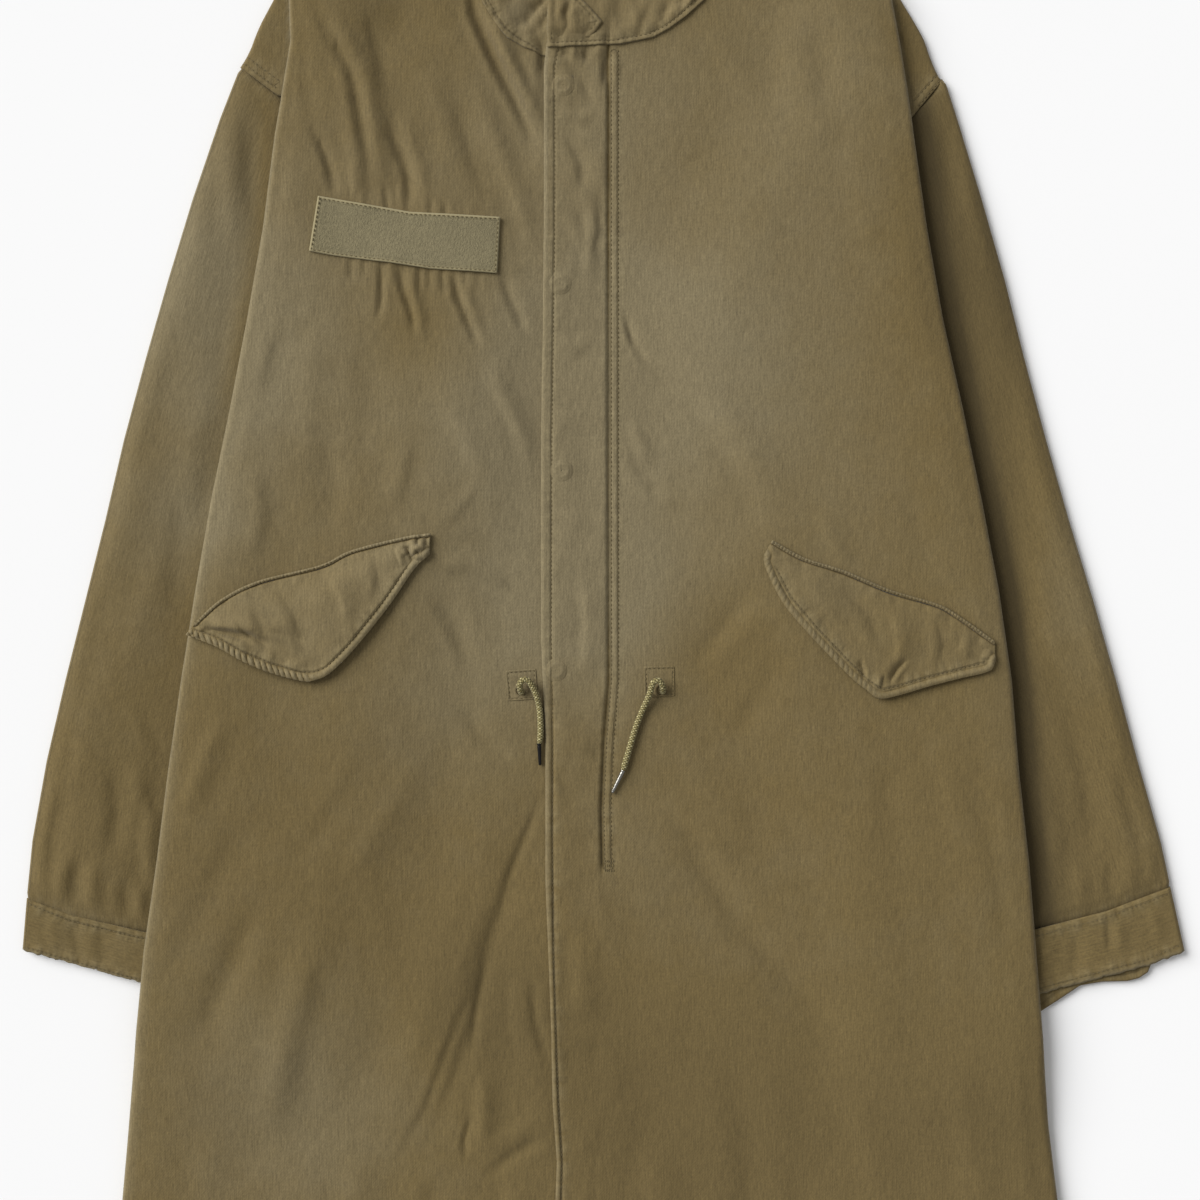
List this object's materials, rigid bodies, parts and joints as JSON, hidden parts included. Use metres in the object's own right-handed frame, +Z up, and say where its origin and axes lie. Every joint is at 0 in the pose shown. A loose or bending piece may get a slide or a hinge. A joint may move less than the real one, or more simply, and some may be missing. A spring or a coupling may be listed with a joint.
{
  "type": "military parka",
  "caption": "Olive cotton parka laid flat: stand collar, covered front with snaps, slanted pocket flaps, blank chest tape, waist cord ends, sleeves tucked behind the body.",
  "frame": {"origin": "middle of the box round the parka, on the surface it lies on", "axes": "+X to the wearer's left, +Y to the collar, +Z up from the surface, through the front"},
  "size_m": [0.8116, 1.0362, 0.0171],
  "materials": {
    "parka_cloth": "worn olive twill, washed pale along seams and creases",
    "hook_and_loop_tape": "blank loop tape, grey-olive, matte",
    "braided_cord": "braided yellow-olive cord with pale flecks",
    "snap_paint": "cap under the fly's cloth, shows as a low disc",
    "black_aglet": "black crimped tip",
    "steel_aglet": "bare crimped tip"
  },
  "bodies": {
    "root": {"back": "parka_cloth", "front_right": "parka_cloth", "front_left": "parka_cloth", "sleeve_right": "parka_cloth", "sleeve_left": "parka_cloth", "cuff_right": "parka_cloth", "cuff_left": "parka_cloth", "cuff_tab_left": "parka_cloth", "collar_back": "parka_cloth", "collar_right": "parka_cloth", "collar_left": "parka_cloth", "throat_tab": "parka_cloth", "pocket_flap_right": "parka_cloth", "pocket_flap_left": "parka_cloth", "cord_patch_right": "parka_cloth", "cord_patch_left": "parka_cloth", "name_tape": "hook_and_loop_tape", "drawcord_right": "braided_cord", "drawcord_left": "braided_cord", "aglet_right": "black_aglet", "aglet_left": "steel_aglet", "snap_1": "snap_paint", "snap_2": "snap_paint", "snap_3": "snap_paint", "snap_4": "snap_paint"}
  },
  "joints": []
}
